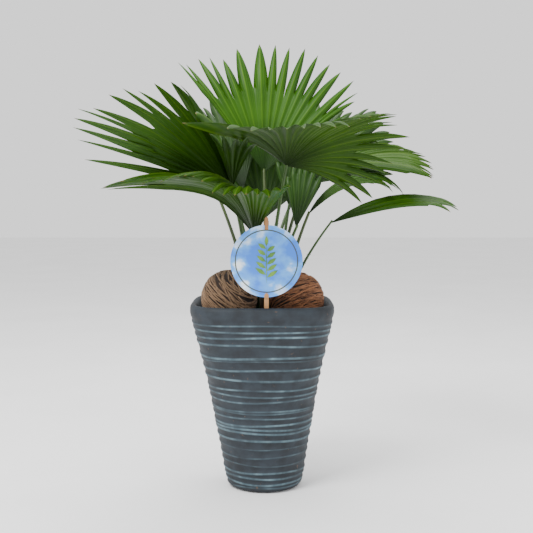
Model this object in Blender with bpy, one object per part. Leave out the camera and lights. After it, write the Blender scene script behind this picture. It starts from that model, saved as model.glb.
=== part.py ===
"""Potted footstool palm: a round-based, soft-square planter with two fibre balls and a picture disc on a stake, and a crown of pleated fan fronds on separate stalks. Metres, +Z up, origin at the centre of the pot's underside, -Y is the front."""
import math

import bmesh
import bpy
import numpy as np

# ---- named sizes (metres, degrees) ----
POT_PROFILE = [  # height, half width, squareness of the ring (2 is round)
    (0.0, 0.0525, 2.0), (0.0025, 0.0600, 2.0), (0.0075, 0.0640, 2.0), (0.034, 0.0697, 2.0),
    (0.0763, 0.0766, 2.0), (0.1183, 0.0840, 2.0), (0.1503, 0.0896, 2.1), (0.1812, 0.0950, 2.35),
    (0.2125, 0.1012, 2.75), (0.2436, 0.1079, 3.2), (0.2851, 0.1169, 3.8), (0.3050, 0.1208, 4.0),
    (0.3140, 0.1206, 4.0), (0.3190, 0.1168, 4.0),
]
POT_LEAN = 0.004          # the pot's centre line drifts this far to -X at the rim
POT_SIDES = 44
LIP = 0.0115              # wall at the rim
WALL = 0.010
FLOOR = 0.014
SOIL_TOP = 0.279
SEAM = 0.0003             # gap between touching pieces
BALLS = [("ball_left", -0.0590, -0.030, 0.0472), ("ball_right", 0.0545, -0.030, 0.0455)]
DISC_CENTRE = (0.0034, -0.1035, 0.3933)
DISC_RADIUS = 0.058
DISC_THICK = 0.0016
STAKE_WIDTH = 0.0075
STAKE_THICK = 0.0018
STAKE_TOP = 0.4640
STEM_FOOT = (0.004, 0.030)
STEM_RADII = [(0.0, 0.0185), (0.030, 0.0170), (0.055, 0.0130), (0.070, 0.0080)]
BLADE_THICK = 0.0026
TIP_THICK = 0.0009
FINGER = 0.62             # how much of the segment's width is left halfway along its free tip
STALK_RADIUS = (0.0034, 0.0024)

# Each frond: hub, tilt of its own frame about X, number of segments, and guide ribs
# (place across the fan, azimuth, first elevation, last elevation, length, how the bend is spread, how far the segments are joined)
LEAVES = {
    "01": ((-0.001, 0.05, 0.538), 80, 18, [
        (0.028, 36, 14, -10, 0.166, 1.3, 0.76), (0.083, 36, 13, -10, 0.186, 1.3, 0.76), (0.139, 40, 12, -10, 0.209, 1.3, 0.77),
        (0.194, 42, 11, -10, 0.223, 1.3, 0.77), (0.25, 46, 10, -10, 0.228, 1.3, 0.77), (0.306, 54, 9, -10, 0.231, 1.3, 0.77),
        (0.361, 60, 8, -10, 0.234, 1.3, 0.77), (0.417, 66, 7, -10, 0.236, 1.3, 0.78), (0.472, 72, 6, -10, 0.237, 1.3, 0.78),
        (0.528, 79, 6, -10, 0.236, 1.3, 0.78), (0.583, 85, 7, -10, 0.236, 1.3, 0.78), (0.639, 92, 8, -10, 0.236, 1.3, 0.79),
        (0.694, 102, 8, -10, 0.231, 1.3, 0.79), (0.75, 109, 9, -10, 0.223, 1.3, 0.79), (0.806, 115, 10, -10, 0.229, 1.3, 0.79),
        (0.861, 119, 10, -10, 0.24, 1.3, 0.79), (0.917, 125, 11, -10, 0.24, 1.3, 0.8), (0.972, 127, 12, -10, 0.252, 1.3, 0.8),
    ]),
    "02": ((-0.053, -0.05, 0.508), 0, 18, [
        (0.028, 183, 14, 11, 0.247, 1, 0.55), (0.083, 188, 21, 16, 0.263, 1, 0.57), (0.139, 193, 25, 18, 0.275, 1, 0.61),
        (0.194, 199, 30, 19, 0.283, 1, 0.66), (0.25, 204, 34, 19, 0.286, 1, 0.71), (0.306, 210, 37, 19, 0.272, 1, 0.76),
        (0.361, 215, 43, 24, 0.268, 1, 0.79), (0.417, 220, 46, 26, 0.259, 1, 0.81), (0.472, 226, 49, 27, 0.249, 1, 0.82),
        (0.528, 231, 53, 31, 0.241, 1, 0.82), (0.583, 236, 59, 35, 0.232, 1, 0.82), (0.639, 232, 66, 41, 0.208, 1, 0.8),
        (0.694, 248, 56, 28, 0.187, 1, 0.8), (0.75, 259, 45, 15, 0.18, 1, 0.8), (0.806, 267, 43, 13, 0.174, 1, 0.8),
        (0.861, 275, 45, 15, 0.169, 1, 0.8), (0.917, 282, 45, 15, 0.163, 1, 0.8), (0.972, 288, 44, 14, 0.158, 1, 0.8),
    ]),
    "03": ((0.036, -0.06, 0.546), 0, 24, [
        (0.021, 11, -4, -43, 0.143, 1, 0.74), (0.062, 6, 1, -37, 0.154, 1, 0.74), (0.104, 0, 8, -28, 0.162, 1, 0.74),
        (0.146, -5, 14, -20, 0.17, 1, 0.74), (0.188, -10, 19, -14, 0.174, 1, 0.74), (0.229, -17, 23, -6, 0.193, 1, 0.74),
        (0.271, -22, 28, -2, 0.213, 1, 0.74), (0.312, -27, 34, 5, 0.204, 1, 0.74), (0.354, -32, 35, 6, 0.204, 1, 0.74),
        (0.396, -37, 35, 6, 0.22, 1, 0.74), (0.438, -41, 35, 6, 0.231, 1, 0.74), (0.562, -57, 37, -3, 0.235, 1.1, 0.84),
        (0.646, -67, 37, -9, 0.235, 1.1, 0.84), (0.75, -81, 38, -12, 0.225, 1.1, 0.84), (0.854, -98, 37, -13, 0.217, 1.1, 0.84),
        (0.938, -113, 36, -8, 0.24, 0.9, 0.84), (0.979, -124, 31, -3, 0.28, 0.8, 0.8),
    ]),
    "04": ((-0.016, -0.042, 0.431), 0, 20, [
        (0, 180, 49, -0, 0.263, -0.35, 0.6), (0.08, 184, 56, -2, 0.288, -0.33, 0.64), (0.22, 225, 57, -1, 0.276, -0.36, 0.72),
        (0.36, 236, 56, -4, 0.27, -0.42, 0.78), (0.52, 247, 49, -5, 0.264, -0.48, 0.8), (0.68, 260, 39, -9, 0.258, -0.52, 0.8),
        (0.84, 273, 36, -8, 0.243, -0.56, 0.82), (1, 289, 30, 18, 0.207, -0.6, 0.85),
    ]),
    "05": ((0.07, 0.035, 0.517), 0, 18, [
        (0, -26, 51, -18, 0.235, 0.39, 0.8), (0.12, -14, 31, -25, 0.226, 1, 0.8), (0.3, -2, 33, -21, 0.231, 1, 0.8),
        (0.48, 8, 35, -17, 0.239, 1, 0.8), (0.64, 18, 35, -13, 0.247, 1, 0.8), (0.8, 22, 38, -8, 0.241, 1, 0.8),
        (0.9, 27, 40, -2, 0.218, 1, 0.8), (1, 32, 51, 11, 0.168, 1, 0.8),
    ]),
    "06": ((0.074, 0, 0.465), 0, 14, [
        (0, -12, 42, -17, 0.146, 1.8, 0.8), (0.3, -6, 51, -38, 0.171, 1.7, 0.78), (0.55, 2, 65, -43, 0.199, 1.1, 0.78),
        (0.8, 12, 60, -20, 0.166, 1.1, 0.8), (1, 56, 43, 3, 0.14, 1, 0.8),
    ]),
    "07": ((0.053, -0.02, 0.443), 84, 6, [
        (0.083, 64, 10, -14, 0.102, 1, 0.8), (0.25, 72, 10, -14, 0.111, 1, 0.8), (0.417, 80, 10, -14, 0.118, 1, 0.8),
        (0.583, 86, 10, -14, 0.116, 1, 0.8), (0.75, 93, 10, -14, 0.106, 1, 0.8), (0.917, 100, 10, -14, 0.09, 1, 0.8),
    ]),
    "08": ((0.042, 0.03, 0.478), 84, 6, [
        (0.083, 62, 10, -10, 0.093, 1, 0.8), (0.25, 72, 10, -10, 0.101, 1, 0.8), (0.417, 80, 10, -10, 0.104, 1, 0.8),
        (0.583, 88, 10, -10, 0.103, 1, 0.8), (0.75, 96, 10, -10, 0.096, 1, 0.8), (0.917, 105, 10, -10, 0.085, 1, 0.8),
    ]),
    "09": ((0.111, -0.01, 0.451), 0, 3, [
        (0, -10, 15, -9, 0.193, 2.5, 0.86), (0.5, 0, 25, -24, 0.226, 1.6, 0.86), (1, 10, 36, -26, 0.235, 1.2, 0.86),
    ]),
    "10": ((-0.086, 0.04, 0.51), 0, 14, [
        (0, 204, 40, 14, 0.15, 1, 0.8), (0.5, 182, 44, 14, 0.17, 1, 0.8), (1, 158, 50, 24, 0.15, 1, 0.8),
    ]),
    "11": ((-0.038, 0.085, 0.507), 62, 15, [
        (0, 75, 14, -22, 0.209, 1, 0.8), (0.18, 87, 14, -22, 0.211, 1, 0.8), (0.35, 98, 14, -22, 0.215, 1, 0.8),
        (0.5, 108, 14, -20, 0.214, 1, 0.8), (0.58, 113, 14, -20, 0.206, 1, 0.8), (0.66, 116, 14, -20, 0.199, 1, 0.8),
        (0.8, 121, 14, -20, 0.188, 1, 0.8), (1, 128, 14, -16, 0.173, 1, 0.8),
    ]),
    "12": ((0.06, 0.095, 0.511), 60, 18, [
        (0, 9, 14, -16, 0.174, 1, 0.8), (0.2, 23, 14, -16, 0.202, 1, 0.8), (0.38, 39, 14, -18, 0.221, 1, 0.8),
        (0.5, 52, 14, -18, 0.236, 1, 0.8), (0.6, 57, 14, -20, 0.213, 1, 0.8), (0.75, 69, 14, -22, 0.209, 1, 0.8),
        (1, 88, 14, -22, 0.194, 1, 0.8),
    ]),
    "13": ((0, 0.12, 0.455), 76, 14, [
        (0, 38, 14, -18, 0.16, 1, 0.8), (0.5, 90, 14, -18, 0.2, 1, 0.8), (1, 140, 14, -18, 0.15, 1, 0.8),
    ]),
    "14": ((-0.045, 0.055, 0.47), 0, 10, [
        (0, 216, 70, 50, 0.1, 1, 0.8), (0.5, 190, 66, 46, 0.12, 1, 0.8), (1, 160, 66, 44, 0.11, 1, 0.8),
    ]),
}

# where each stalk leaves the stem: bearing, radius and height above the soil
STALKS = {
    "01": (270, 0.0052, 0.0745, 0.25),
    "02": (197, 0.0235, 0.0030, 0.30),
    "03": (265, 0.0235, 0.0030, 0.30),
    "04": (231, 0.0235, 0.0030, 0.30),
    "05": (75, 0.0235, 0.0030, 0.30),
    "06": (333, 0.0235, 0.0030, 0.30),
    "07": (312, 0.0235, 0.0030, 0.02),
    "08": (41, 0.0235, 0.0030, 0.30),
    "09": (7, 0.0235, 0.0030, 0.30),
    "10": (163, 0.0235, 0.0030, 0.30),
    "11": (180, 0.0052, 0.0745, 0.25),
    "12": (0, 0.0052, 0.0745, 0.25),
    "13": (90, 0.0052, 0.0745, 0.25),
    "14": (129, 0.0235, 0.0030, 0.30),
}


def clear():
    for obj in list(bpy.data.objects):
        bpy.data.objects.remove(obj, do_unlink=True)


def material(name, colour, rough, metal=0.0):
    mat = bpy.data.materials.new(name)
    mat.use_nodes = True
    shader = mat.node_tree.nodes["Principled BSDF"]
    shader.inputs["Base Color"].default_value = (*colour, 1.0)
    shader.inputs["Roughness"].default_value = rough
    shader.inputs["Metallic"].default_value = metal
    mat.diffuse_color = (*colour, 1.0)
    return mat


def solid(name, verts, faces, mat, smooth=False):
    mesh = bpy.data.meshes.new(name)
    mesh.from_pydata([tuple(map(float, v)) for v in verts], [], faces)
    work = bmesh.new()
    work.from_mesh(mesh)
    bmesh.ops.recalc_face_normals(work, faces=work.faces)
    if work.calc_volume(signed=True) < 0:
        bmesh.ops.reverse_faces(work, faces=work.faces)
    for face in work.faces:
        face.smooth = smooth
    work.to_mesh(mesh)
    work.free()
    mesh.materials.append(mat)
    obj = bpy.data.objects.new(name, mesh)
    bpy.context.scene.collection.objects.link(obj)
    return obj


def smooth_through(xs, ys, x):
    """A curve through the guides that doesn't overshoot, straight beyond its ends."""
    xs, ys, x = np.asarray(xs, float), np.asarray(ys, float), np.asarray(x, float)
    h = np.diff(xs)
    d = np.diff(ys) / h
    m = np.zeros(len(xs))
    m[0], m[-1] = d[0], d[-1]
    for i in range(1, len(xs) - 1):
        if d[i - 1] * d[i] > 0:
            m[i] = 2 / (1 / d[i - 1] + 1 / d[i])
    i = np.clip(np.searchsorted(xs, x) - 1, 0, len(h) - 1)
    t = np.clip((x - xs[i]) / h[i], 0, 1)
    y = ((1 + 2 * t) * (1 - t) ** 2 * ys[i] + t * (1 - t) ** 2 * h[i] * m[i]
         + t * t * (3 - 2 * t) * ys[i + 1] + t * t * (t - 1) * h[i] * m[i + 1])
    y = y + np.where(x < xs[0], (x - xs[0]) * m[0], 0) + np.where(x > xs[-1], (x - xs[-1]) * m[-1], 0)
    return y


def rib(hub, tilt, guide, steps=14):
    """Points and up-vectors along one rib."""
    az, el0, el1, length, power = guide[:5]
    t = (np.arange(steps) + 0.5) / steps
    w = t ** power if power > 0 else 1 - 1 / (1 + (t / -power) ** 4)
    el = np.radians(el0 + (el1 - el0) * w)
    a = math.radians(az)
    c, s = math.cos(math.radians(tilt)), math.sin(math.radians(tilt))
    turn = np.array([[1, 0, 0], [0, c, -s], [0, s, c]])
    step = np.c_[np.cos(el) * math.cos(a), np.cos(el) * math.sin(a), np.sin(el)] @ turn.T
    path = np.zeros((steps + 1, 3))
    path[0] = hub
    path[1:] = np.asarray(hub) + np.cumsum(step, 0) * length / steps
    return path


def along(path, t):
    x = min(max(t, 0.0), 1.0) * (len(path) - 1)
    i = min(int(x), len(path) - 2)
    return path[i] + (path[i + 1] - path[i]) * (x - i)


def blade(name, spec, mat):
    """A thin closed solid of the frond's outline: joined strips, then one tapering finger to each segment."""
    hub, tilt, n, guides = spec
    table = np.array(guides, float)
    cols = np.array([smooth_through(table[:, 0], table[:, k], np.arange(n + 1) / n) for k in range(1, 7)]).T
    mids = np.array([smooth_through(table[:, 0], table[:, k], (np.arange(n) + 0.5) / n) for k in range(1, 7)]).T
    edges = [rib(hub, tilt, g) for g in cols]
    ribs = [rib(hub, tilt, g) for g in mids]
    rows = (0.0, 0.36, 0.72, 1.0)
    points, thick = [np.array(hub, float)], [BLADE_THICK]
    index = {}
    for i, path in enumerate(edges):
        join = cols[i][5] if 0 < i < n else mids[0 if i == 0 else n - 1][5]
        for j, r in enumerate(rows[1:]):
            index[i, j] = len(points)
            points.append(along(path, join * r))
            thick.append(BLADE_THICK * (1 - 0.25 * r))
    for i in range(n):
        mid = (mids[i][5] + 1) / 2
        for side, path in ((0, edges[i]), (1, edges[i + 1])):
            index["m", i, side] = len(points)
            points.append(FINGER * along(path, mid) + (1 - FINGER) * along(ribs[i], mid))
            thick.append(BLADE_THICK * 0.6)
        index["t", i] = len(points)
        points.append(along(ribs[i], 1.0))
        thick.append(TIP_THICK)
    tris = []
    for i in range(n):
        tris.append((0, index[i, 0], index[i + 1, 0]))
        for j in range(2):
            a, b, c, d = index[i, j], index[i, j + 1], index[i + 1, j + 1], index[i + 1, j]
            tris += [(a, b, c), (a, c, d)]
        a, b, l, r, t = index[i, 2], index[i + 1, 2], index["m", i, 0], index["m", i, 1], index["t", i]
        tris += [(a, l, r), (a, r, b), (l, t, r)]
    points = np.array(points)
    normal = np.zeros_like(points)
    for a, b, c in tris:
        face = np.cross(points[b] - points[a], points[c] - points[a])
        for k in (a, b, c):
            normal[k] += face / max(np.linalg.norm(face), 1e-12) ** 0.5
    normal /= np.maximum(np.linalg.norm(normal, axis=1, keepdims=True), 1e-12)
    half = normal * np.array(thick)[:, None] / 2
    verts = np.vstack([points + half, points - half])
    m = len(points)
    count = {}
    for a, b, c in tris:
        for e in ((a, b), (b, c), (c, a)):
            count[e] = count.get(e, 0) + 1
    faces = [t for t in tris] + [(c + m, b + m, a + m) for a, b, c in tris]
    for a, b in count:
        if (b, a) not in count:
            faces += [(b, a, a + m), (b, a + m, b + m)]
    return solid(name, verts, faces, mat)


def ring(z, half, square, sides, centre=(0.0, 0.0)):
    out = []
    for k in range(sides):
        a = 2 * math.pi * k / sides
        c, s = math.cos(a), math.sin(a)
        r = half / (abs(c) ** square + abs(s) ** square) ** (1 / square)
        out.append((centre[0] + r * c, centre[1] + r * s, z))
    return out


def loft(name, rings, mat, smooth=True):
    """Closed skin through rings of equal count, capped at both ends."""
    verts = [v for r in rings for v in r]
    k = len(rings[0])
    faces = []
    for j in range(len(rings) - 1):
        for i in range(k):
            a, b = j * k + i, j * k + (i + 1) % k
            faces.append((a, b, b + k, a + k))
    low = len(verts)
    verts.append(tuple(np.mean(rings[0], axis=0)))
    verts.append(tuple(np.mean(rings[-1], axis=0)))
    last = (len(rings) - 1) * k
    for i in range(k):
        faces.append((low, (i + 1) % k, i))
        faces.append((low + 1, last + i, last + (i + 1) % k))
    return solid(name, verts, faces, mat, smooth)


def lean(z):
    return (-POT_LEAN * z / 0.319, 0.0)


def pot_at(z):
    zs, hs, ns = zip(*POT_PROFILE)
    return float(np.interp(z, zs, hs)), float(np.interp(z, zs, ns))


def build_pot(mat):
    rings = [ring(z, h, n, POT_SIDES, lean(z)) for z, h, n in POT_PROFILE]
    inner = [(0.3186, LIP - 0.003), (0.3140, LIP), (0.3050, LIP), (SOIL_TOP, WALL), (0.2125, WALL), (0.1503, WALL), (0.0763, WALL), (FLOOR, WALL + 0.002)]
    for z, wall in inner:
        h, n = pot_at(z)
        rings.append(ring(z, h - wall if z < 0.318 else 0.1208 - LIP + 0.0028, n, POT_SIDES, lean(z)))
    return loft("pot", rings, mat)


def build_soil(mat):
    rings = []
    for z in (FLOOR + SEAM, 0.0763, 0.1503, 0.2125, SOIL_TOP):
        h, n = pot_at(z)
        wall = WALL + (0.002 if z < 0.02 else 0.0) + 5 * SEAM
        rings.append(ring(z, h - wall, n, POT_SIDES, lean(z)))
    return loft("soil", rings, mat)


def build_ball(name, x, y, radius, mat):
    z = SOIL_TOP + SEAM + radius
    rings = []
    count, sides = 11, 20
    for j in range(1, count):
        a = math.pi * j / count
        rings.append([(x + radius * math.sin(a) * math.cos(2 * math.pi * i / sides),
                       y + radius * math.sin(a) * math.sin(2 * math.pi * i / sides),
                       z - radius * math.cos(a)) for i in range(sides)])
    rings = [[(x + (px - x) * 1.0, y + (py - y) * 1.0, pz) for px, py, pz in r] for r in rings]
    obj = loft(name, rings, mat)
    obj.data.vertices[len(rings) * sides].co = (x, y, z - radius)
    obj.data.vertices[len(rings) * sides + 1].co = (x, y, z + radius)
    return obj


def build_disc(mat):
    x, y, z = DISC_CENTRE
    rings = []
    for dy in (-DISC_THICK / 2, DISC_THICK / 2):
        rings.append([(x + DISC_RADIUS * math.cos(2 * math.pi * i / 40), y + dy, z + DISC_RADIUS * math.sin(2 * math.pi * i / 40)) for i in range(40)])
    return loft("label_disc", rings, mat, smooth=False)


def build_stake(mat):
    x, y = DISC_CENTRE[0], DISC_CENTRE[1] + DISC_THICK / 2 + SEAM
    w, t = STAKE_WIDTH / 2, STAKE_THICK
    outline = [(-w, SOIL_TOP + SEAM), (w, SOIL_TOP + SEAM), (w, STAKE_TOP - 0.007), (w * 0.25, STAKE_TOP), (-w * 0.25, STAKE_TOP), (-w, STAKE_TOP - 0.007)]
    rings = [[(x + px, y + dy, pz) for px, pz in outline] for dy in (0, t)]
    return loft("label_stake", rings, mat, smooth=False)


def build_stem(mat):
    rings = []
    for dz, r in STEM_RADII:
        rings.append([(STEM_FOOT[0] + r * math.cos(2 * math.pi * i / 16), STEM_FOOT[1] + r * math.sin(2 * math.pi * i / 16), SOIL_TOP + SEAM + dz) for i in range(16)])
    return loft("stem", rings, mat)


def build_stalk(name, start, hub, mat, bulge):
    """A tapering stalk, upright at its foot and leaning out to the frond's hub."""
    start, hub = np.array(start, float), np.array(hub, float)
    ctrl = start + (hub - start) * np.array([bulge, bulge, 0.52])
    out = hub - ctrl
    hub = hub - out / np.linalg.norm(out) * 0.0042
    steps, sides = 7, 6
    pts = []
    for j in range(steps + 1):
        t = j / steps
        pts.append((1 - t) ** 2 * start + 2 * t * (1 - t) * ctrl + t * t * hub)
    rings = []
    for j, p in enumerate(pts):
        d = pts[min(j + 1, steps)] - pts[max(j - 1, 0)]
        d /= np.linalg.norm(d)
        u = np.cross(d, (0, 1, 0.01))
        u /= np.linalg.norm(u)
        v = np.cross(d, u)
        r = STALK_RADIUS[0] + (STALK_RADIUS[1] - STALK_RADIUS[0]) * j / steps
        rings.append([tuple(p + r * (u * math.cos(2 * math.pi * i / sides) + v * math.sin(2 * math.pi * i / sides))) for i in range(sides)])
    return loft(name, rings, mat)


def main():
    clear()
    glaze = material("pot_glaze", (0.07, 0.085, 0.095), 0.7)
    soil = material("potting_soil", (0.035, 0.022, 0.015), 0.95)
    fibre_l = material("ball_fibre_left", (0.17, 0.105, 0.07), 0.9)
    fibre_r = material("ball_fibre_right", (0.19, 0.085, 0.05), 0.9)
    card = material("label_print", (0.36, 0.56, 0.80), 0.5)
    wood = material("stake_wood", (0.62, 0.42, 0.25), 0.7)
    bark = material("stem_fibre", (0.12, 0.075, 0.045), 0.9)
    stalk = material("stalk_green", (0.16, 0.24, 0.06), 0.5)
    leaf = material("frond_green", (0.09, 0.20, 0.035), 0.5)
    build_pot(glaze)
    build_soil(soil)
    for (name, x, y, r), mat in zip(BALLS, (fibre_l, fibre_r)):
        build_ball(name, x, y, r, mat)
    build_disc(card)
    build_stake(wood)
    build_stem(bark)
    for key, spec in LEAVES.items():
        bearing, radius, height, bulge = STALKS[key]
        start = (STEM_FOOT[0] + radius * math.cos(math.radians(bearing)), STEM_FOOT[1] + radius * math.sin(math.radians(bearing)), SOIL_TOP + height)
        build_stalk("stalk_" + key, start, spec[0], stalk, bulge)
        blade("frond_" + key, spec, leaf)


main()
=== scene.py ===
"""Potted footstool palm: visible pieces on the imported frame. Metres, +Z up, -Y is the front."""

import math
import random

import bpy
import numpy as np
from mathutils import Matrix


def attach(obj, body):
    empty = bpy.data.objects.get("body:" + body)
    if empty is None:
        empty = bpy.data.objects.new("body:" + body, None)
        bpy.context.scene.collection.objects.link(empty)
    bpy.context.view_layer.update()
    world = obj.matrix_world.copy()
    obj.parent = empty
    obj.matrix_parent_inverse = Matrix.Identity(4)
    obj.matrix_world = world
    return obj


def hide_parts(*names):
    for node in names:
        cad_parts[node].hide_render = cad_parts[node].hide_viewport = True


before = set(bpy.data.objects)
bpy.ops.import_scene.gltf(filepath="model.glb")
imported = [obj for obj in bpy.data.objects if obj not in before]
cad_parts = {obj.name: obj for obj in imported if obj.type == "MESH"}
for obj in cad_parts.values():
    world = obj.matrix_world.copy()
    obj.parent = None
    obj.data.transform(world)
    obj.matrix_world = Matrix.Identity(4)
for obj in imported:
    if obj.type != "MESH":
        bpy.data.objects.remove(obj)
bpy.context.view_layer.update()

rng = random.Random(41)
SOIL_TOP = 0.279
STEM_FOOT = (0.004, 0.030)
POT_PROFILE = [
    (0.0, 0.0525, 2.0), (0.0025, 0.0600, 2.0), (0.0075, 0.0640, 2.0), (0.034, 0.0697, 2.0),
    (0.0763, 0.0766, 2.0), (0.1183, 0.0840, 2.0), (0.1503, 0.0896, 2.1), (0.1812, 0.0950, 2.35),
    (0.2125, 0.1012, 2.75), (0.2436, 0.1079, 3.2), (0.2851, 0.1169, 3.8), (0.3050, 0.1208, 4.0),
    (0.3140, 0.1206, 4.0), (0.3190, 0.1168, 4.0),
]
BALLS = [("ball_left", -0.0590, -0.030, 0.0472), ("ball_right", 0.0545, -0.030, 0.0455)]
DISC = (0.0034, -0.1035, 0.3933)
DISC_R = 0.058
DISC_T = 0.0016

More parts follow.
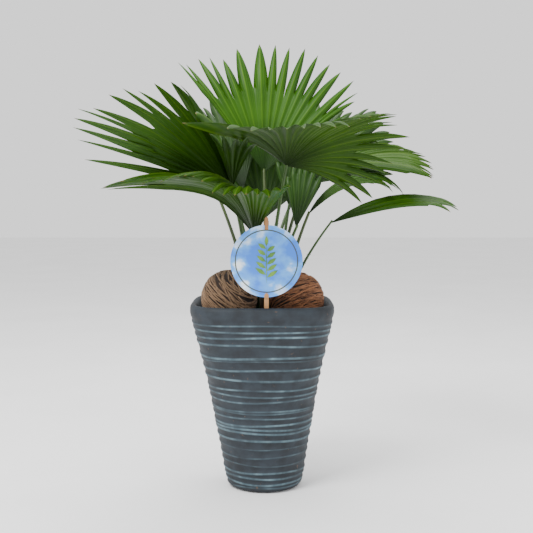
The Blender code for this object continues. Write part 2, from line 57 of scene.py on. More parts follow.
LEAVES = {
    "01": ((-0.001, 0.05, 0.538), 80, 18, [
        (0.028, 36, 14, -10, 0.166, 1.3, 0.76), (0.083, 36, 13, -10, 0.186, 1.3, 0.76), (0.139, 40, 12, -10, 0.209, 1.3, 0.77),
        (0.194, 42, 11, -10, 0.223, 1.3, 0.77), (0.25, 46, 10, -10, 0.228, 1.3, 0.77), (0.306, 54, 9, -10, 0.231, 1.3, 0.77),
        (0.361, 60, 8, -10, 0.234, 1.3, 0.77), (0.417, 66, 7, -10, 0.236, 1.3, 0.78), (0.472, 72, 6, -10, 0.237, 1.3, 0.78),
        (0.528, 79, 6, -10, 0.236, 1.3, 0.78), (0.583, 85, 7, -10, 0.236, 1.3, 0.78), (0.639, 92, 8, -10, 0.236, 1.3, 0.79),
        (0.694, 102, 8, -10, 0.231, 1.3, 0.79), (0.75, 109, 9, -10, 0.223, 1.3, 0.79), (0.806, 115, 10, -10, 0.229, 1.3, 0.79),
        (0.861, 119, 10, -10, 0.24, 1.3, 0.79), (0.917, 125, 11, -10, 0.24, 1.3, 0.8), (0.972, 127, 12, -10, 0.252, 1.3, 0.8),
    ]),
    "02": ((-0.053, -0.05, 0.508), 0, 18, [
        (0.028, 183, 14, 11, 0.247, 1, 0.55), (0.083, 188, 21, 16, 0.263, 1, 0.57), (0.139, 193, 25, 18, 0.275, 1, 0.61),
        (0.194, 199, 30, 19, 0.283, 1, 0.66), (0.25, 204, 34, 19, 0.286, 1, 0.71), (0.306, 210, 37, 19, 0.272, 1, 0.76),
        (0.361, 215, 43, 24, 0.268, 1, 0.79), (0.417, 220, 46, 26, 0.259, 1, 0.81), (0.472, 226, 49, 27, 0.249, 1, 0.82),
        (0.528, 231, 53, 31, 0.241, 1, 0.82), (0.583, 236, 59, 35, 0.232, 1, 0.82), (0.639, 232, 66, 41, 0.208, 1, 0.8),
        (0.694, 248, 56, 28, 0.187, 1, 0.8), (0.75, 259, 45, 15, 0.18, 1, 0.8), (0.806, 267, 43, 13, 0.174, 1, 0.8),
        (0.861, 275, 45, 15, 0.169, 1, 0.8), (0.917, 282, 45, 15, 0.163, 1, 0.8), (0.972, 288, 44, 14, 0.158, 1, 0.8),
    ]),
    "03": ((0.036, -0.06, 0.546), 0, 24, [
        (0.021, 11, -4, -43, 0.143, 1, 0.74), (0.062, 6, 1, -37, 0.154, 1, 0.74), (0.104, 0, 8, -28, 0.162, 1, 0.74),
        (0.146, -5, 14, -20, 0.17, 1, 0.74), (0.188, -10, 19, -14, 0.174, 1, 0.74), (0.229, -17, 23, -6, 0.193, 1, 0.74),
        (0.271, -22, 28, -2, 0.213, 1, 0.74), (0.312, -27, 34, 5, 0.204, 1, 0.74), (0.354, -32, 35, 6, 0.204, 1, 0.74),
        (0.396, -37, 35, 6, 0.22, 1, 0.74), (0.438, -41, 35, 6, 0.231, 1, 0.74), (0.562, -57, 37, -3, 0.235, 1.1, 0.84),
        (0.646, -67, 37, -9, 0.235, 1.1, 0.84), (0.75, -81, 38, -12, 0.225, 1.1, 0.84), (0.854, -98, 37, -13, 0.217, 1.1, 0.84),
        (0.938, -113, 36, -8, 0.24, 0.9, 0.84), (0.979, -124, 31, -3, 0.28, 0.8, 0.8),
    ]),
    "04": ((-0.016, -0.042, 0.431), 0, 20, [
        (0, 180, 49, -0, 0.263, -0.35, 0.6), (0.08, 184, 56, -2, 0.288, -0.33, 0.64), (0.22, 225, 57, -1, 0.276, -0.36, 0.72),
        (0.36, 236, 56, -4, 0.27, -0.42, 0.78), (0.52, 247, 49, -5, 0.264, -0.48, 0.8), (0.68, 260, 39, -9, 0.258, -0.52, 0.8),
        (0.84, 273, 36, -8, 0.243, -0.56, 0.82), (1, 289, 30, 18, 0.207, -0.6, 0.85),
    ]),
    "05": ((0.07, 0.035, 0.517), 0, 18, [
        (0, -26, 51, -18, 0.235, 0.39, 0.8), (0.12, -14, 31, -25, 0.226, 1, 0.8), (0.3, -2, 33, -21, 0.231, 1, 0.8),
        (0.48, 8, 35, -17, 0.239, 1, 0.8), (0.64, 18, 35, -13, 0.247, 1, 0.8), (0.8, 22, 38, -8, 0.241, 1, 0.8),
        (0.9, 27, 40, -2, 0.218, 1, 0.8), (1, 32, 51, 11, 0.168, 1, 0.8),
    ]),
    "06": ((0.074, 0, 0.465), 0, 14, [
        (0, -12, 42, -17, 0.146, 1.8, 0.8), (0.3, -6, 51, -38, 0.171, 1.7, 0.78), (0.55, 2, 65, -43, 0.199, 1.1, 0.78),
        (0.8, 12, 60, -20, 0.166, 1.1, 0.8), (1, 56, 43, 3, 0.14, 1, 0.8),
    ]),
    "07": ((0.053, -0.02, 0.443), 84, 6, [
        (0.083, 64, 10, -14, 0.102, 1, 0.8), (0.25, 72, 10, -14, 0.111, 1, 0.8), (0.417, 80, 10, -14, 0.118, 1, 0.8),
        (0.583, 86, 10, -14, 0.116, 1, 0.8), (0.75, 93, 10, -14, 0.106, 1, 0.8), (0.917, 100, 10, -14, 0.09, 1, 0.8),
    ]),
    "08": ((0.042, 0.03, 0.478), 84, 6, [
        (0.083, 62, 10, -10, 0.093, 1, 0.8), (0.25, 72, 10, -10, 0.101, 1, 0.8), (0.417, 80, 10, -10, 0.104, 1, 0.8),
        (0.583, 88, 10, -10, 0.103, 1, 0.8), (0.75, 96, 10, -10, 0.096, 1, 0.8), (0.917, 105, 10, -10, 0.085, 1, 0.8),
    ]),
    "09": ((0.111, -0.01, 0.451), 0, 3, [
        (0, -10, 15, -9, 0.193, 2.5, 0.86), (0.5, 0, 25, -24, 0.226, 1.6, 0.86), (1, 10, 36, -26, 0.235, 1.2, 0.86),
    ]),
    "10": ((-0.086, 0.04, 0.51), 0, 14, [
        (0, 204, 40, 14, 0.15, 1, 0.8), (0.5, 182, 44, 14, 0.17, 1, 0.8), (1, 158, 50, 24, 0.15, 1, 0.8),
    ]),
    "11": ((-0.038, 0.085, 0.507), 62, 15, [
        (0, 75, 14, -22, 0.209, 1, 0.8), (0.18, 87, 14, -22, 0.211, 1, 0.8), (0.35, 98, 14, -22, 0.215, 1, 0.8),
        (0.5, 108, 14, -20, 0.214, 1, 0.8), (0.58, 113, 14, -20, 0.206, 1, 0.8), (0.66, 116, 14, -20, 0.199, 1, 0.8),
        (0.8, 121, 14, -20, 0.188, 1, 0.8), (1, 128, 14, -16, 0.173, 1, 0.8),
    ]),
    "12": ((0.06, 0.095, 0.511), 60, 18, [
        (0, 9, 14, -16, 0.174, 1, 0.8), (0.2, 23, 14, -16, 0.202, 1, 0.8), (0.38, 39, 14, -18, 0.221, 1, 0.8),
        (0.5, 52, 14, -18, 0.236, 1, 0.8), (0.6, 57, 14, -20, 0.213, 1, 0.8), (0.75, 69, 14, -22, 0.209, 1, 0.8),
        (1, 88, 14, -22, 0.194, 1, 0.8),
    ]),
    "13": ((0, 0.12, 0.455), 76, 14, [
        (0, 38, 14, -18, 0.16, 1, 0.8), (0.5, 90, 14, -18, 0.2, 1, 0.8), (1, 140, 14, -18, 0.15, 1, 0.8),
    ]),
    "14": ((-0.045, 0.055, 0.47), 0, 10, [
        (0, 216, 70, 50, 0.1, 1, 0.8), (0.5, 190, 66, 46, 0.12, 1, 0.8), (1, 160, 66, 44, 0.11, 1, 0.8),
    ]),
}

STALKS = {
    "01": (270, 0.0052, 0.0745, 0.25),
    "02": (197, 0.0235, 0.0030, 0.30),
    "03": (265, 0.0235, 0.0030, 0.30),
    "04": (231, 0.0235, 0.0030, 0.30),
    "05": (75, 0.0235, 0.0030, 0.30),
    "06": (333, 0.0235, 0.0030, 0.30),
    "07": (312, 0.0235, 0.0030, 0.02),
    "08": (41, 0.0235, 0.0030, 0.30),
    "09": (7, 0.0235, 0.0030, 0.30),
    "10": (163, 0.0235, 0.0030, 0.30),
    "11": (180, 0.0052, 0.0745, 0.25),
    "12": (0, 0.0052, 0.0745, 0.25),
    "13": (90, 0.0052, 0.0745, 0.25),
    "14": (129, 0.0235, 0.0030, 0.30),
}


# ---------------------------------------------------------------- materials
def new_mat(name):
    mat = bpy.data.materials.new(name)
    mat.use_nodes = True
    return mat, mat.node_tree, mat.node_tree.nodes["Principled BSDF"]


def node(tree, kind, **values):
    n = tree.nodes.new(kind)
    for key, value in values.items():
        if key in n.inputs:
            n.inputs[key].default_value = value
        else:
            setattr(n, key, value)
    return n


def ramp(tree, fac, stops):
    n = tree.nodes.new("ShaderNodeValToRGB")
    while len(n.color_ramp.elements) < len(stops):
        n.color_ramp.elements.new(0.5)
    for e, (pos, col) in zip(n.color_ramp.elements, stops):
        e.position = pos
        e.color = (*col, 1) if len(col) == 3 else col
    tree.links.new(fac, n.inputs[0])
    return n.outputs[0]


def mix(tree, fac, a, b, how="MIX"):
    n = tree.nodes.new("ShaderNodeMix")
    n.data_type = "RGBA"
    n.blend_type = how
    for slot, value in ((n.inputs[0], fac), (n.inputs[6], a), (n.inputs[7], b)):
        if isinstance(value, bpy.types.NodeSocket):
            tree.links.new(value, slot)
        else:
            slot.default_value = value if not isinstance(value, tuple) else (*value, 1)
    return n.outputs[2]


def attr(tree, name):
    n = tree.nodes.new("ShaderNodeAttribute")
    n.attribute_name = name
    return n.outputs["Fac"]


def noise(tree, scale, detail=3.0, stretch=None, rot=None):
    tc = tree.nodes.new("ShaderNodeTexCoord")
    out = tc.outputs["Object"]
    if stretch:
        mp = tree.nodes.new("ShaderNodeMapping")
        mp.inputs["Scale"].default_value = stretch
        if rot:
            mp.inputs["Rotation"].default_value = rot
        tree.links.new(out, mp.inputs[0])
        out = mp.outputs[0]
    n = tree.nodes.new("ShaderNodeTexNoise")
    n.inputs["Scale"].default_value = scale
    n.inputs["Detail"].default_value = detail
    tree.links.new(out, n.inputs["Vector"])
    return n.outputs["Fac"]


def bump(tree, bsdf, height, strength, dist):
    b = tree.nodes.new("ShaderNodeBump")
    b.inputs["Strength"].default_value = strength
    b.inputs["Distance"].default_value = dist
    tree.links.new(height, b.inputs["Height"])
    tree.links.new(b.outputs[0], bsdf.inputs["Normal"])


def leaf_mat(name, dark, light, rib, sheen):
    mat, t, b = new_mat(name)
    patch = ramp(t, noise(t, 9, 3), [(0.35, dark), (0.68, light)])
    # fine veins run along each segment
    vein = t.nodes.new("ShaderNodeTexWave")
    vein.wave_type = "BANDS"
    vein.bands_direction = "X"
    vein.inputs["Scale"].default_value = 1.0
    comb = t.nodes.new("ShaderNodeCombineXYZ")
    mul = t.nodes.new("ShaderNodeMath"); mul.operation = "MULTIPLY"; mul.inputs[1].default_value = 2.2
    t.links.new(attr(t, "across"), mul.inputs[0])
    t.links.new(mul.outputs[0], comb.inputs[0])
    t.links.new(comb.outputs[0], vein.inputs["Vector"])
    col = mix(t, ramp(t, vein.outputs["Fac"], [(0.2, (0, 0, 0)), (0.9, (0.28, 0.28, 0.28))]), patch, rib)
    ridge = ramp(t, attr(t, "ridge"), [(0.80, (0, 0, 0)), (0.97, (0.75, 0.75, 0.75))])
    col = mix(t, ridge, col, rib)
    # painted shade: the blade darkens towards the hub, where the segments crowd together in shade
    painted_shade = ramp(t, attr(t, "along"), [(0.06, (0.85, 0.85, 0.85)), (0.42, (0, 0, 0))])
    col = mix(t, painted_shade, col, tuple(0.30 * c for c in dark))
    tip = ramp(t, attr(t, "along"), [(0.975, (0, 0, 0)), (1.0, (0.85, 0.85, 0.85))])
    col = mix(t, tip, col, (0.16, 0.10, 0.035))
    t.links.new(col, b.inputs["Base Color"])
    b.inputs["Roughness"].default_value = 0.46
    b.inputs["Specular IOR Level"].default_value = sheen
    bump(t, b, vein.outputs["Fac"], 0.25, 0.0006)
    return mat


def plain(name, dark, light, scale, rough, stretch=None, bumpy=0.0, dist=0.001):
    mat, t, b = new_mat(name)
    n = noise(t, scale, 5, stretch)
    t.links.new(ramp(t, n, [(0.32, dark), (0.68, light)]), b.inputs["Base Color"])
    b.inputs["Roughness"].default_value = rough
    if bumpy:
        bump(t, b, n, bumpy, dist)
    return mat


def pot_mat():
    mat, t, b = new_mat("pot_glaze")
    base = ramp(t, noise(t, 45, 6), [(0.35, (0.004, 0.007, 0.011)), (0.62, (0.012, 0.019, 0.027))])
    # painted highlight: the raised rings and the rim top get a streaky light teal, broken up by noise, over the dark
    # glaze
    ring_highlight_streaks = noise(t, 60, 4, (1.0, 1.0, 0.22))
    ring_highlight = ramp(t, ring_highlight_streaks, [(0.42, (0.055, 0.10, 0.125)), (0.70, (0.14, 0.23, 0.27))])
    fac = ramp(t, attr(t, "ridge"), [(0.62, (0, 0, 0)), (0.93, (1, 1, 1))])
    ring_highlight_breakup = ramp(t, noise(t, 22, 4, (1, 1, 2.5)), [(0.33, (0.12, 0.12, 0.12)), (0.66, (1, 1, 1))])
    col = mix(t, mix(t, 1.0, fac, ring_highlight_breakup, "MULTIPLY"), base, ring_highlight)
    spots = ramp(t, noise(t, 130, 2), [(0.70, (0, 0, 0)), (0.78, (0.6, 0.6, 0.6))])
    col = mix(t, spots, col, (0.10, 0.055, 0.030))
    t.links.new(col, b.inputs["Base Color"])
    b.inputs["Roughness"].default_value = 0.72
    bump(t, b, noise(t, 180, 4), 0.35, 0.0008)
    return mat


def fibre_mat(name, dark, light):
    mat, t, b = new_mat(name)
    n = noise(t, 90, 5, (1, 1, 1))
    col = ramp(t, n, [(0.30, dark), (0.72, light)])
    col = mix(t, ramp(t, attr(t, "shade"), [(0.0, (0, 0, 0)), (1.0, (0.7, 0.7, 0.7))]), col, tuple(v * 1.9 for v in light))
    t.links.new(col, b.inputs["Base Color"])
    b.inputs["Roughness"].default_value = 0.85
    return mat


def card_mat():
    mat, t, b = new_mat("label_print")
    cloud = ramp(t, noise(t, 26, 4, (1, 1, 1.3)), [(0.42, (0.030, 0.20, 0.80)), (0.56, (0.11, 0.40, 0.92)), (0.68, (0.84, 0.92, 0.98))])
    ring = ramp(t, attr(t, "ring"), [(0.4, (0, 0, 0)), (0.6, (1, 1, 1))])
    t.links.new(mix(t, ring, cloud, (0.055, 0.065, 0.03)), b.inputs["Base Color"])
    b.inputs["Roughness"].default_value = 0.38
    return mat


M = {
    # one leaf colour in lit and shaded copies: painted light for the front frond, painted shade for the darker and
    # inner fronds
    "painted_light": leaf_mat("frond_bright", (0.011, 0.054, 0.0003), (0.028, 0.100, 0.0006), (0.060, 0.150, 0.003), 0.16),
    "mid": leaf_mat("frond_mid", (0.009, 0.043, 0.0004), (0.024, 0.082, 0.0009), (0.055, 0.125, 0.004), 0.20),
    "painted_shade": leaf_mat("frond_deep", (0.009, 0.038, 0.0004), (0.024, 0.072, 0.0006), (0.055, 0.112, 0.004), 0.14),
    "inner": leaf_mat("frond_inner", (0.006, 0.030, 0.0006), (0.014, 0.054, 0.0012), (0.035, 0.085, 0.005), 0.22),
    "pot": pot_mat(),
    "soil": plain("soil_dark", (0.010, 0.007, 0.005), (0.045, 0.030, 0.020), 70, 0.95, None, 0.8, 0.004),
    "ball_left": fibre_mat("fibre_grey", (0.040, 0.020, 0.010), (0.165, 0.100, 0.055)),
    "ball_right": fibre_mat("fibre_red", (0.045, 0.016, 0.007), (0.190, 0.078, 0.032)),
    # painted shade: the near-black core stands for the shadowed depth between the wound strands
    "shaded_core": plain("fibre_core_painted_shade", (0.008, 0.005, 0.004), (0.030, 0.017, 0.011), 60, 0.95),
    "card": card_mat(),
    "wood": plain("stake_wood", (0.34, 0.155, 0.055), (0.50, 0.26, 0.11), 60, 0.6, (1, 1, 0.12)),
    "stem": plain("stem_fibre", (0.030, 0.018, 0.010), (0.10, 0.062, 0.034), 60, 0.9, (1, 1, 0.15), 0.6, 0.002),
    "stalk": plain("stalk_skin", (0.012, 0.036, 0.003), (0.040, 0.090, 0.008), 30, 0.5, (1, 1, 0.15)),
    "stalk_warm": plain("stalk_skin_warm", (0.018, 0.034, 0.004), (0.060, 0.095, 0.012), 30, 0.5, (1, 1, 0.15)),
    "sprig": plain("sprig_print", (0.05, 0.16, 0.02), (0.16, 0.34, 0.04), 80, 0.4),
    "floor": plain("studio_floor", (0.86, 0.86, 0.86), (0.90, 0.90, 0.90), 3, 0.9),
}


# ---------------------------------------------------------------- geometry helpers
def smooth_through(xs, ys, x):
    xs, ys, x = np.asarray(xs, float), np.asarray(ys, float), np.asarray(x, float)
    h = np.diff(xs)
    d = np.diff(ys) / h
    m = np.zeros(len(xs))
    m[0], m[-1] = d[0], d[-1]
    for i in range(1, len(xs) - 1):
        if d[i - 1] * d[i] > 0:
            m[i] = 2 / (1 / d[i - 1] + 1 / d[i])
    i = np.clip(np.searchsorted(xs, x) - 1, 0, len(h) - 1)
    t = np.clip((x - xs[i]) / h[i], 0, 1)
    y = ((1 + 2 * t) * (1 - t) ** 2 * ys[i] + t * (1 - t) ** 2 * h[i] * m[i]
         + t * t * (3 - 2 * t) * ys[i + 1] + t * t * (t - 1) * h[i] * m[i + 1])
    return y + np.where(x < xs[0], (x - xs[0]) * m[0], 0) + np.where(x > xs[-1], (x - xs[-1]) * m[-1], 0)


def rib(hub, tilt, guide, steps=14):
    az, el0, el1, length, power = guide[:5]
    t = (np.arange(steps) + 0.5) / steps
    w = t ** power if power > 0 else 1 - 1 / (1 + (t / -power) ** 4)
    el = np.radians(el0 + (el1 - el0) * w)
    a = math.radians(az)
    c, s = math.cos(math.radians(tilt)), math.sin(math.radians(tilt))
    turn = np.array([[1, 0, 0], [0, c, -s], [0, s, c]])
    step = np.c_[np.cos(el) * math.cos(a), np.cos(el) * math.sin(a), np.sin(el)] @ turn.T
    path = np.zeros((steps + 1, 3))
    path[0] = hub
    path[1:] = np.asarray(hub) + np.cumsum(step, 0) * length / steps
    return path


def along(path, t):
    x = min(max(t, 0.0), 1.0) * (len(path) - 1)
    i = min(int(x), len(path) - 2)
    return path[i] + (path[i + 1] - path[i]) * (x - i)


def unit(v):
    return v / max(np.linalg.norm(v), 1e-12)


def make(name, verts, faces, mats, smooth=True, attrs=None, face_mats=None):
    mesh = bpy.data.meshes.new(name)
    mesh.from_pydata([tuple(map(float, v)) for v in verts], [], [tuple(map(int, f)) for f in faces])
    for m in mats:
        mesh.materials.append(m)
    if face_mats is not None:
        mesh.polygons.foreach_set("material_index", face_mats)
    if smooth:
        mesh.polygons.foreach_set("use_smooth", [True] * len(mesh.polygons))
    for key, values in (attrs or {}).items():
        a = mesh.attributes.new(key, "FLOAT", "POINT")
        a.data.foreach_set("value", np.asarray(values, np.float32))
    mesh.validate()
    obj = bpy.data.objects.new(name, mesh)
    bpy.context.scene.collection.objects.link(obj)
    return obj


def closed_sheet(points, tris, thick):
    """Two skins and a rim from a mid surface of triangles or quads."""
    points = np.asarray(points, float)
    normal = np.zeros_like(points)
    for f in tris:
        a, b, c = points[f[0]], points[f[1]], points[f[2]]
        n = np.cross(b - a, c - a)
        for k in f:
            normal[k] += n
    normal /= np.maximum(np.linalg.norm(normal, axis=1, keepdims=True), 1e-15)
    half = normal * np.asarray(thick)[:, None] / 2
    m = len(points)
    edges = {}
    for f in tris:
        for i in range(len(f)):
            e = (f[i], f[(i + 1) % len(f)])
            edges[e] = edges.get(e, 0) + 1
    faces = [tuple(f) for f in tris] + [tuple(k + m for k in reversed(f)) for f in tris]
    for a, b in edges:
        if (b, a) not in edges:
            faces.append((b, a, a + m, b + m))
    return np.vstack([points + half, points - half]), faces


# ---------------------------------------------------------------- fronds
def frond(key, spec, mat, fold, seed):
    r = random.Random(seed)
    hub, tilt, n, guides = spec
    table = np.array(guides, float)
    cols = np.array([smooth_through(table[:, 0], table[:, k], np.arange(n + 1) / n) for k in range(1, 7)]).T
    mids = np.array([smooth_through(table[:, 0], table[:, k], (np.arange(n) + 0.5) / n) for k in range(1, 7)]).T
    edges = [rib(hub, tilt, g, 20) for g in cols]
    ribs = [rib(hub, tilt, g, 20) for g in mids]
    if key == "01":
        cols[:, 5] -= 0.17
        mids[:, 5] -= 0.17
    elif key in ("02", "03"):
        cols[:, 5] -= 0.13
        mids[:, 5] -= 0.13
    joins = [mids[min(max(i, 0), n - 1)][5] if i in (0, n) else min(mids[i - 1][5], mids[i][5]) * r.uniform(0.93, 1.03) for i in range(n + 1)]
    rows = np.array([0.03, 0.1, 0.2, 0.32, 0.44, 0.56, 0.68, 0.79, 0.9, 1.0])
    pts, thick, across, ridge, length = [np.array(hub, float)], [0.0009], [0.0], [0.4], [0.0]
    edge_id, faces = {}, []

    def add(p, th, ac, rd, al):
        pts.append(p); thick.append(th); across.append(ac); ridge.append(rd); length.append(al)
        return len(pts) - 1

    for i in range(n + 1):
        for j, q in enumerate(rows):
            edge_id[i, j] = add(along(edges[i], joins[i] * q), 0.0007 - 0.0002 * q, i, 0.0, joins[i] * q)
    for i in range(n):
        grid = []
        w_last = None
        jm = (joins[i] + joins[i + 1]) / 2
        for j, q in enumerate(rows):
            a, b = pts[edge_id[i, j]], pts[edge_id[i + 1, j]]
            t = jm * q
            mid = along(ribs[i], t)
            ahead = unit(along(ribs[i], min(t + 0.03, 1)) - along(ribs[i], max(t - 0.03, 0)))
            side = b - a
            up = unit(np.cross(ahead, unit(side)))
            h = fold * np.linalg.norm(side) * (0.35 + 0.65 * min(1, q * 2.5))
            mid = mid + up * h
            row = [edge_id[i, j], add((a * 0.5 + mid * 0.5) - up * h * 0.06, 0.0007 - 0.0002 * q, i + 0.25, 0.5, t),
                   add(mid, 0.0009 - 0.0003 * q, i + 0.5, 1.0, t),
                   add((b * 0.5 + mid * 0.5) - up * h * 0.06, 0.0007 - 0.0002 * q, i + 0.75, 0.5, t), edge_id[i + 1, j]]
            grid.append(row)
            w_last, up_last = side, up
        # free finger: narrows to its tip, droops and twists a little
        w0 = np.linalg.norm(w_last) / 2
        droop = r.uniform(0.0, 0.010)
        twist = r.uniform(-0.30, 0.30)
        body = r.uniform(0.62, 0.80)
        steps = 7
        for k in range(1, steps + 1):
            f = k / (steps + 1)
            t = jm + (1 - jm) * f
            c = along(ribs[i], t)
            ahead = unit(along(ribs[i], min(t + 0.04, 1)) - along(ribs[i], t - 0.04))
            side = unit(along(edges[i + 1], t) - along(edges[i], t))
            up = unit(np.cross(ahead, side))
            ang = twist * f
            side2 = side * math.cos(ang) + up * math.sin(ang)
            up2 = up * math.cos(ang) - side * math.sin(ang)
            w = w0 * (1.04 - f ** (1.1 + body)) ** 0.9
            c = c - np.array([0, 0, droop * f * f])
            h = 2 * fold * w
            th = 0.0005 - 0.0002 * f
            row = [add(c - side2 * w, th, i + 0.5 - 0.5 * (1 - f) , 0.0, t),
                   add(c - side2 * w / 2 + up2 * h * 0.5, th, i + 0.5 - 0.25 * (1 - f), 0.5, t),
                   add(c + up2 * h, th + 0.0001, i + 0.5, 1.0, t),
                   add(c + side2 * w / 2 + up2 * h * 0.5, th, i + 0.5 + 0.25 * (1 - f), 0.5, t),
                   add(c + side2 * w, th, i + 0.5 + 0.5 * (1 - f), 0.0, t)]
            grid.append(row)
        tip = add(along(ribs[i], 1.0) - np.array([0, 0, droop]), 0.0002, i + 0.5, 0.6, 1.0)
        first = grid[0]
        for k in range(4):
            faces.append((0, first[k], first[k + 1]))
        for g0, g1 in zip(grid, grid[1:]):
            for k in range(4):
                faces.append((g0[k], g1[k], g1[k + 1], g0[k + 1]))
        for k in range(4):
            faces.append((grid[-1][k], tip, grid[-1][k + 1]))
    verts, skin = closed_sheet(pts, faces, thick)
    obj = make("frond_leaf_" + key, verts, skin, [mat], True,
               {"across": across * 2, "ridge": ridge * 2, "along": length * 2})
    uv = obj.data.uv_layers.new(name="OFBake")
    loops = np.empty(len(obj.data.loops), np.int32)
    obj.data.loops.foreach_get("vertex_index", loops)
    m = len(pts)
    ac, al = np.array(across * 2), np.array(length * 2)
    half = loops >= m
    u = (ac[loops] / n) * 0.485 + 0.005 + half * 0.5
    v = al[loops] * 0.98 + 0.01
    uv.data.foreach_set("uv", np.c_[u, v].astype(np.float32).reshape(-1))
    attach(obj, "root")
    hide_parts("frond_" + key)
    return obj


# painted light and shade: each frond takes a lit, mid or shaded copy of one leaf colour, the darkest for the inner
# fronds
LOOK = {"01": "painted_light", "02": "mid", "03": "painted_shade", "04": "painted_shade", "05": "painted_shade", "06": "mid", "07": "inner", "08": "inner",
        "09": "mid", "10": "inner", "11": "inner", "12": "inner", "13": "inner", "14": "inner"}
for number, (key, spec) in enumerate(LEAVES.items()):
    frond(key, spec, M[LOOK[key]], 0.27 if key != "09" else 0.12, 100 + number)


# ---------------------------------------------------------------- pot
def lean(z):
    return -0.004 * z / 0.319


def pot_at(z):
    zs, hs, ns = zip(*POT_PROFILE)
    return float(np.interp(z, zs, hs)), float(np.interp(z, zs, ns))


RINGS = [0.0085, 0.0165, 0.0250, 0.0345, 0.0500, 0.0640, 0.0775, 0.0925, 0.1060, 0.1115, 0.1200, 0.1325, 0.1395, 0.1450, 0.1610, 0.1690, 0.1812, 0.1970, 0.2130, 0.2290, 0.2360, 0.2560, 0.2705, 0.2790, 0.2900]


def build_pot():
    sides = 144
    zs = list(np.concatenate([np.array([0.0, 0.0012, 0.0025, 0.005]), np.arange(0.0075, 0.300, 0.0016), np.array([0.301, 0.304, 0.307, 0.310, 0.3125, 0.3148, 0.3166, 0.3180, 0.3188])]))
    phases = [(rng.uniform(0, 6.28), rng.uniform(0, 6.28), rng.uniform(0.75, 1.1)) for _ in RINGS]
    verts, tone = [], []
    for z in zs:
        h, n = pot_at(z)
        if z > 0.3125:
            h = 0.1206 - 0.0045 * ((z - 0.3125) / 0.0063) ** 2.2
        for k in range(sides):
            a = 2 * math.pi * k / sides
            c, s = math.cos(a), math.sin(a)
            d = 0.0
            for ring, (p1, p2, g) in zip(RINGS, phases):
                zr = ring + 0.0014 * math.sin(a + p1) + 0.0009 * math.sin(3 * a + p2)
                x = (z - zr) / 0.0034
                if abs(x) < 3:
                    d = max(d, g * math.exp(-x * x))
            if z > 0.2985:
                d = max(d * 0.4, min(1.0, (z - 0.2985) / 0.004) * 0.62)
            fade = min(1.0, z / 0.006)
            r = h / (abs(c) ** n + abs(s) ** n) ** (1 / n)
            r += (d - 0.55) * 0.0018 * fade * (1 if z < 0.2985 else 0.3)
            verts.append((lean(z) + r * c, r * s, z))
            # the ring crests and the rim top band carry the painted highlight mask
            tone.append(d)
    rows = len(zs)
    inner = [(0.3186, 0.0075), (0.3170, 0.0098), (0.3140, 0.0115), (0.3050, 0.0115), (0.290, 0.0108), (0.2795, 0.010)]
    for z, wall in inner:
        h, n = pot_at(min(z, 0.312))
        for k in range(sides):
            a = 2 * math.pi * k / sides
            c, s = math.cos(a), math.sin(a)
            r = (h - wall) / (abs(c) ** n + abs(s) ** n) ** (1 / n)
            verts.append((lean(z) + r * c, r * s, z))
            # the inner lip of the rim top carries the painted highlight too
            tone.append(0.62 if z > 0.316 else 0.0)
    rows += len(inner)
    faces = []
    for j in range(rows - 1):
        for i in range(sides):
            a, b = j * sides + i, j * sides + (i + 1) % sides
            faces.append((a, b, b + sides, a + sides))
    low, high = len(verts), len(verts) + 1
    verts += [(0, 0, 0), (lean(0.2795), 0, 0.2795)]
    tone += [0, 0]
    last = (rows - 1) * sides
    for i in range(sides):
        faces.append((low, (i + 1) % sides, i))
        faces.append((high, last + i, last + (i + 1) % sides))
    obj = make("pot_body", verts, faces, [M["pot"]], True, {"ridge": tone})
    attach(obj, "root")
    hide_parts("pot")


build_pot()


# ---------------------------------------------------------------- fibre balls
def tube(path, radius, sides, verts, faces, shade, tones, phase=0.0):
    base = len(verts)
    k = len(path)
    for j, p in enumerate(path):
        d = unit(path[min(j + 1, k - 1)] - path[max(j - 1, 0)])
        u = unit(np.cross(d, (0.13, 0.21, 0.97)))
        v = np.cross(d, u)
        rad = radius(j / (k - 1)) if callable(radius) else radius
        for i in range(sides):
            a = 2 * math.pi * i / sides + phase
            verts.append(p + rad * (u * math.cos(a) + v * math.sin(a)))
            tones.append(shade)
    for j in range(k - 1):
        for i in range(sides):
            a, b = base + j * sides + i, base + j * sides + (i + 1) % sides
            faces.append((a, a + sides, b + sides, b))
    faces.append(tuple(base + i for i in range(sides)))
    faces.append(tuple(base + (k - 1) * sides + i for i in reversed(range(sides))))


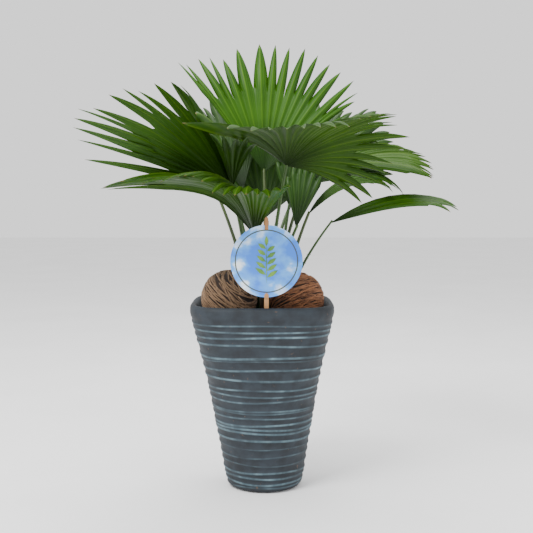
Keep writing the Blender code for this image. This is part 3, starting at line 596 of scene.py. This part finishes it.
def ball(name, x, y, radius, mat, axis, seed):
    r = random.Random(seed)
    z = SOIL_TOP + 0.0003 + radius
    centre = np.array([x, y, z])
    verts, faces, tones = [], [], []
    # a near-black core sphere under the strands is painted shade for the depth between them
    rows, sides = 24, 40
    for j in range(rows + 1):
        a = math.pi * j / rows
        for i in range(sides):
            b = 2 * math.pi * i / sides
            if j in (0, rows) and i:
                continue
            verts.append(centre + (radius - 0.0016) * np.array([math.sin(a) * math.cos(b), math.sin(a) * math.sin(b), -math.cos(a)]))
            tones.append(0.0)
    def vid(j, i):
        return 0 if j == 0 else (1 + (rows - 1) * sides if j == rows else 1 + (j - 1) * sides + i % sides)
    for j in range(rows):
        for i in range(sides):
            q = [vid(j, i), vid(j, i + 1), vid(j + 1, i + 1), vid(j + 1, i)]
            f = tuple(dict.fromkeys(q))
            faces.append(f)
    axis = unit(np.array(axis, float))
    for _ in range(290):
        # strands wind round an axis that wanders a little from one to the next
        ax = unit(axis + np.array([r.gauss(0, 0.16) for _ in range(3)]))
        e1 = unit(np.cross(ax, (0.3, 0.9, 0.2)))
        e2 = np.cross(ax, e1)
        off = r.uniform(-0.97, 0.97)
        ring = math.sqrt(1 - off * off)
        start, span = r.uniform(0, 6.28), r.uniform(1.2, 3.6)
        steps = 16
        lift = r.uniform(-0.0016, -0.0002)
        ph, wob = r.uniform(0, 6.28), r.uniform(0.0, 0.03)
        path = []
        for k in range(steps + 1):
            a = start + span * k / steps
            o = off + wob * math.sin(3 * a + ph)
            rg = math.sqrt(max(0.0, 1 - o * o))
            path.append(centre + (radius + lift) * (ax * o + rg * (e1 * math.cos(a) + e2 * math.sin(a))))
        tube(path, r.uniform(0.0006, 0.0012), 5, verts, faces, r.random() ** 1.5, tones, r.random())
    shaded_core = rows * sides
    obj = make(name + "_wound", verts, faces, [mat, M["shaded_core"]], True, {"shade": tones}, [1] * shaded_core + [0] * (len(faces) - shaded_core))
    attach(obj, "root")
    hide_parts(name)


ball("ball_left", *BALLS[0][1:], M["ball_left"], (0.62, -0.25, 0.72), 5)
ball("ball_right", *BALLS[1][1:], M["ball_right"], (-0.32, 0.25, 0.90), 6)


# ---------------------------------------------------------------- stalks
def stalk(key, mat, seed):
    r = random.Random(seed)
    bearing, radius, height, bulge = STALKS[key]
    hub = np.array(LEAVES[key][0], float)
    start = np.array((STEM_FOOT[0] + radius * math.cos(math.radians(bearing)), STEM_FOOT[1] + radius * math.sin(math.radians(bearing)), SOIL_TOP + height))
    ctrl = start + (hub - start) * np.array([bulge, bulge, 0.52])
    out = hub - ctrl
    end = hub - out / np.linalg.norm(out) * 0.0042
    curve = lambda t: (1 - t) ** 2 * start + 2 * t * (1 - t) * ctrl + t * t * end
    path = [curve(k / 24) for k in range(25)] + [hub - out / np.linalg.norm(out) * 0.0005, hub + out / np.linalg.norm(out) * 0.006]
    verts, faces, tones = [], [], []
    slim = 0.75 if key == "09" else 1.0
    tube(path, lambda q: slim * (0.0037 - 0.0014 * min(q, 1) + 0.0012 * max(0.0, 1 - q * 8)), 10, verts, faces, 0.0, tones)
    for k in range(26):
        # small spines on both margins of the lower stalk
        q = 0.10 + 0.62 * k / 26 + r.uniform(-0.01, 0.01)
        p = curve(q)
        d = unit(curve(q + 0.02) - curve(q - 0.02))
        side = unit(np.cross(d, (0, -1, 0.2))) * (1 if k % 2 else -1)
        rad = slim * (0.0037 - 0.0014 * q)
        tip = p + side * (rad + r.uniform(0.0010, 0.0020)) - d * 0.0008
        tube([p + side * rad * 0.7, p + side * (rad + 0.0004), tip], lambda w: 0.0006 * (1 - 0.8 * w), 4, verts, faces, 0.0, tones)
    obj = make("stalk_tube_" + key, verts, faces, [mat], True)
    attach(obj, "root")
    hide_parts("stalk_" + key)


for number, key in enumerate(LEAVES):
    stalk(key, M["stalk_warm" if key in ("01", "05", "06", "10") else "stalk"], 300 + number)


# ---------------------------------------------------------------- label
def label():
    rings = [0.0, 0.006, 0.012, 0.018, 0.024, 0.030, 0.036, 0.042, 0.0478, 0.0485, 0.0492, 0.0505, 0.0512, 0.0519, 0.055, DISC_R]
    sides = 96
    verts, tone, faces = [], [], []
    for face, y in ((0, -DISC_T / 2), (1, DISC_T / 2)):
        for rr in rings:
            for i in range(sides if rr else 1):
                a = 2 * math.pi * i / sides
                verts.append((DISC[0] + rr * math.cos(a), DISC[1] + y, DISC[2] + rr * math.sin(a)))
                tone.append(1.0 if face == 0 and 0.0488 < rr < 0.0508 else 0.0)
    per = 1 + (len(rings) - 1) * sides
    def vid(face, j, i):
        return face * per + (0 if j == 0 else 1 + (j - 1) * sides + i % sides)
    for face in (0, 1):
        for j in range(len(rings) - 1):
            for i in range(sides):
                q = tuple(dict.fromkeys([vid(face, j, i), vid(face, j + 1, i), vid(face, j + 1, i + 1), vid(face, j, i + 1)]))
                faces.append(q if face == 0 else tuple(reversed(q)))
    for i in range(sides):
        j = len(rings) - 1
        faces.append((vid(0, j, i), vid(1, j, i), vid(1, j, i + 1), vid(0, j, i + 1)))
    obj = make("label_disc_card", verts, faces, [M["card"]], False, {"ring": tone})
    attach(obj, "root")
    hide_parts("label_disc")
    # a plain leaf sprig, slightly raised from the card
    pts, tri = [], []
    y = DISC[1] - DISC_T / 2 - 0.00025
    def leaflet(cx, cz, ang, ln, wd):
        base = len(pts)
        ax, az = math.cos(ang), math.sin(ang)
        outline = [(0, 0), (0.25, 0.7), (0.5, 1.0), (0.78, 0.62), (1, 0), (0.78, -0.62), (0.5, -1.0), (0.25, -0.7)]
        for t, w in outline:
            pts.append((cx + ax * t * ln - az * w * wd, y, cz + az * t * ln + ax * w * wd))
        for k in range(1, 7):
            tri.append((base, base + k, base + k + 1))
    x0, z0 = DISC[0], DISC[2]
    for k in range(5):
        zz = z0 - 0.026 + 0.0105 * k
        ln = 0.021 - 0.0014 * k
        leaflet(x0 + 0.0008, zz, math.radians(34), ln, 0.0035)
        leaflet(x0 - 0.0008, zz + 0.004, math.radians(146), ln, 0.0035)
    leaflet(x0, z0 + 0.024, math.radians(90), 0.017, 0.0032)
    leaflet(x0, z0 - 0.036, math.radians(90), 0.062, 0.0009)
    v, f = closed_sheet(pts, [tuple(reversed(t)) for t in tri], [0.0003] * len(pts))
    obj = make("label_sprig", v, f, [M["sprig"]], False)
    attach(obj, "root")
    # the stake comes to the front of the card at its top and its foot
    for part, low, high, half in (("stake_tongue", 0.4440, 0.4640, 0.0029), ("stake_tab", 0.3345, 0.3420, 0.0036)):
        yy = DISC[1] - DISC_T / 2 - 0.0009
        line = [(-half, low), (half, low), (half, high - half * 0.8), (half * 0.45, high), (-half * 0.45, high), (-half, high - half * 0.8)]
        pts = [(DISC[0] + x, yy, z) for x, z in line]
        v, f = closed_sheet(pts, [(0, 1, 2), (0, 2, 5), (5, 2, 3), (5, 3, 4)], [0.0008] * len(pts))
        obj = make(part, v, f, [M["wood"]], False)
        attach(obj, "root")


label()

# ---------------------------------------------------------------- the rest keeps its solids
for name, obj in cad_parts.items():
    key = None
    if name in ("soil", "stem"):
        key = name
    elif name == "label_stake":
        key = "wood"
    if key:
        obj.data.materials.clear()
        obj.data.materials.append(M[key])

# ---------------------------------------------------------------- stage
bpy.ops.mesh.primitive_plane_add(size=14, location=(0, 2.0, -0.0002))
floor = bpy.context.object
floor.name = "studio_floor"
floor.data.materials.append(M["floor"])

world = bpy.data.worlds.new("studio")
bpy.context.scene.world = world
world.use_nodes = True
world.node_tree.nodes["Background"].inputs[0].default_value = (1, 1, 1, 1)
world.node_tree.nodes["Background"].inputs[1].default_value = 1.30


def area(name, loc, target, size, watts):
    data = bpy.data.lights.new(name, "AREA")
    data.size = size
    data.energy = watts
    obj = bpy.data.objects.new(name, data)
    bpy.context.scene.collection.objects.link(obj)
    obj.location = loc
    d = np.array(target) - np.array(loc)
    from mathutils import Vector
    obj.rotation_euler = Vector(d).to_track_quat("-Z", "Y").to_euler()
    return obj


area("key", (-1.1, -1.5, 2.3), (0, 0, 0.4), 1.0, 88)
area("fill", (1.9, -1.4, 1.1), (0, 0, 0.4), 1.6, 10)
area("top", (0.2, 0.5, 2.6), (0, 0, 0.4), 1.4, 45)

cam = bpy.data.cameras.new("camera")
cam.lens = 67.5
cam.sensor_width = 36.0
eye = bpy.data.objects.new("camera", cam)
bpy.context.scene.collection.objects.link(eye)
eye.location = (0.0034, -1.70, 0.507)
eye.rotation_euler = (math.radians(90 - 4.375), 0, 0)
bpy.context.scene.camera = eye
